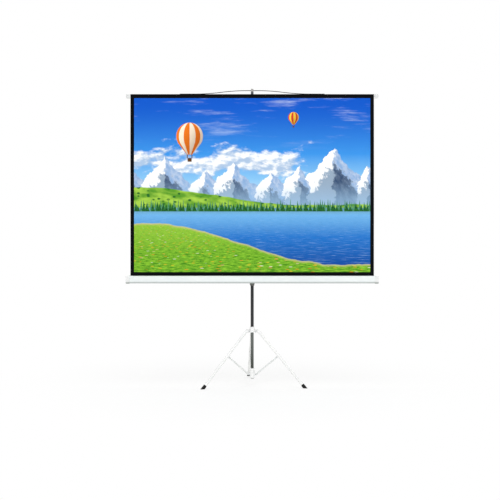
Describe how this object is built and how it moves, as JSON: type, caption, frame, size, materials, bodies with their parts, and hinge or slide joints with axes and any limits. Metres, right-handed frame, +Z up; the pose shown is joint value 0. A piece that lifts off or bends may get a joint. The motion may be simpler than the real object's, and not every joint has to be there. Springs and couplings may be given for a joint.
{
  "type": "tripod projection screen",
  "caption": "Portable projection screen on a folding tripod: white roller case on a column, black-bordered fabric hung by its batten strap from a hook on the telescopic pole.",
  "frame": {"origin": "on the floor, under the middle of the object's box", "axes": "+Z up; +X to the right along the case as the viewer sees it; -Y towards the viewer"},
  "size_m": [2.074, 0.7756, 2.4397],
  "materials": {
    "white_paint": "smooth white powder coat",
    "brace_paint": "off-white powder coat",
    "white_plastic": "moulded white plastic",
    "grey_plastic": "moulded grey plastic",
    "black_plastic": "moulded black plastic",
    "black_rubber": "moulded black rubber",
    "column_steel": "satin grey coat",
    "black_vinyl": "shrunk-on black vinyl",
    "pole_steel": "dark satin coat",
    "strap_steel": "dark coated spring steel",
    "hook_metal": "light grey cast metal",
    "zinc_steel": "bright zinc plate",
    "aluminium": "mill finish",
    "spring_steel": "oiled spring wire",
    "screen_white": "matt coated screen cloth with a black back",
    "border_black": "matt black coated cloth"
  },
  "bodies": {
    "base": {"column_tube": "column_steel", "column_sleeve": "black_vinyl", "column_foot_plug": "black_plastic", "lower_hub": "white_plastic", "hub_pins": "zinc_steel", "stop_collar": "grey_plastic", "stop_collar_screw": "zinc_steel", "column_top_collar": "black_plastic"},
    "pole": {"extension_pole": "pole_steel", "pole_bush": "black_plastic", "strap_hook": "hook_metal", "hook_rivet": "zinc_steel"},
    "pole_knob": {"pole_lock_knob": "black_plastic"},
    "carriage": {"carriage_body": "black_plastic", "swivel_stud": "zinc_steel", "swivel_washer": "zinc_steel", "swivel_nut": "zinc_steel"},
    "carriage_knob": {"carriage_knob": "black_plastic"},
    "case": {"case_body": "white_paint", "case_saddle": "zinc_steel", "saddle_rivets": "zinc_steel", "end_cap_left": "white_plastic", "end_cap_right": "white_plastic", "end_cap_screws": "zinc_steel", "spring_arbor": "spring_steel", "torsion_spring": "spring_steel", "screen_fabric": "screen_white"},
    "roller": {"roller_tube": "aluminium", "roller_plug_left": "black_plastic", "roller_plug_right": "black_plastic", "fabric_wraps": "border_black"},
    "batten": {"batten_bar": "aluminium", "batten_hem": "border_black", "batten_cap_left": "white_plastic", "batten_cap_right": "white_plastic", "pull_strap": "strap_steel", "strap_rivets": "zinc_steel"},
    "leg_collar": {"leg_collar": "white_plastic", "collar_pins": "zinc_steel"},
    "collar_knob": {"collar_knob": "white_plastic"},
    "brace_rear": {"brace_rear": "brace_paint", "brace_pin_rear": "zinc_steel"},
    "leg_rear": {"leg_tube_rear": "white_paint", "leg_knuckle_rear": "white_plastic", "leg_bracket_rear": "white_plastic", "foot_rear": "black_rubber"},
    "brace_left": {"brace_left": "brace_paint", "brace_pin_left": "zinc_steel"},
    "leg_left": {"leg_tube_left": "white_paint", "leg_knuckle_left": "white_plastic", "leg_bracket_left": "white_plastic", "foot_left": "black_rubber"},
    "brace_right": {"brace_right": "brace_paint", "brace_pin_right": "zinc_steel"},
    "leg_right": {"leg_tube_right": "white_paint", "leg_knuckle_right": "white_plastic", "leg_bracket_right": "white_plastic", "foot_right": "black_rubber"}
  },
  "joints": [
    {"name": "tripod_fold", "type": "hinge", "parent": "base", "child": "brace_left", "pos_m": [-0.03002, -0.12764, 0.084], "axis": [-0.5519, 0.8339, 0], "range_deg": [0, 46.59]},
    {"name": "brace_rear_fold", "type": "hinge", "parent": "base", "child": "brace_rear", "pos_m": [-0.0022, -0.07183, 0.084], "axis": [0.9981, 0.061, 0], "range_deg": [0, 46.59]},
    {"name": "brace_right_fold", "type": "hinge", "parent": "base", "child": "brace_right", "pos_m": [0.03222, -0.12383, 0.084], "axis": [-0.4462, -0.8949, 0], "range_deg": [0, 46.59]},
    {"name": "leg_rear_fold", "type": "hinge", "parent": "brace_rear", "child": "leg_rear", "pos_m": [-0.01382, 0.11815, 0.23753], "axis": [0.9981, 0.061, 0], "range_deg": [-86.2, 0]},
    {"name": "leg_left_fold", "type": "hinge", "parent": "brace_left", "child": "leg_left", "pos_m": [-0.18874, -0.23269, 0.23753], "axis": [-0.5519, 0.8339, 0], "range_deg": [-86.2, 0]},
    {"name": "leg_right_fold", "type": "hinge", "parent": "brace_right", "child": "leg_right", "pos_m": [0.20256, -0.20876, 0.23753], "axis": [-0.4462, -0.8949, 0], "range_deg": [-86.2, 0]},
    {"name": "collar_level", "type": "hinge", "parent": "leg_left", "child": "leg_collar", "pos_m": [-0.03002, -0.12764, 0.4374], "axis": [-0.5519, 0.8339, 0], "range_deg": [0, 39.6]},
    {"name": "collar_knob_turn", "type": "hinge", "parent": "leg_collar", "child": "collar_knob", "pos_m": [0, -0.10777, 0.4604], "axis": [0.061, -0.9981, 0], "range_deg": [0, 270]},
    {"name": "pole_slide", "type": "slide", "parent": "base", "child": "pole", "axis": [0, 0, 1], "range_m": [-1.06, 0], "deforming": ["screen_fabric"]},
    {"name": "pole_knob_turn", "type": "hinge", "parent": "base", "child": "pole_knob", "pos_m": [0, -0.10777, 1.294], "axis": [0, 1, 0], "range_deg": [0, 270]},
    {"name": "carriage_slide", "type": "slide", "parent": "base", "child": "carriage", "axis": [0, 0, 1], "range_m": [0, 0.35]},
    {"name": "carriage_knob_turn", "type": "hinge", "parent": "carriage", "child": "carriage_knob", "pos_m": [0, -0.10777, 0.8685], "axis": [0, 1, 0], "range_deg": [0, 270]},
    {"name": "case_swivel", "type": "hinge", "parent": "carriage", "child": "case", "pos_m": [0, -0.13807, 0.8685], "axis": [0, 1, 0], "range_deg": [-2, 2]},
    {"name": "roller_spin", "type": "hinge", "parent": "case", "child": "roller", "pos_m": [0, -0.17877, 0.8685], "axis": [1, 0, 0], "range_deg": [-3301.74, 0]},
    {"name": "batten_tilt", "type": "hinge", "parent": "pole", "child": "batten", "pos_m": [0, -0.13807, 0.8685], "axis": [0, 1, 0], "range_deg": [-2, 2]}
  ],
  "couplings": [
    {"joint": "brace_rear_fold", "follows": "tripod_fold", "ratio": 1},
    {"joint": "brace_right_fold", "follows": "tripod_fold", "ratio": 1},
    {"joint": "leg_rear_fold", "follows": "tripod_fold", "ratio": -1.8499},
    {"joint": "leg_left_fold", "follows": "tripod_fold", "ratio": -1.8499},
    {"joint": "leg_right_fold", "follows": "tripod_fold", "ratio": -1.8499},
    {"joint": "collar_level", "follows": "tripod_fold", "ratio": 0.84989},
    {"joint": "roller_spin", "follows": "pole_slide", "rad_per_m": 54.348},
    {"joint": "batten_tilt", "follows": "case_swivel", "ratio": 1}
  ]
}
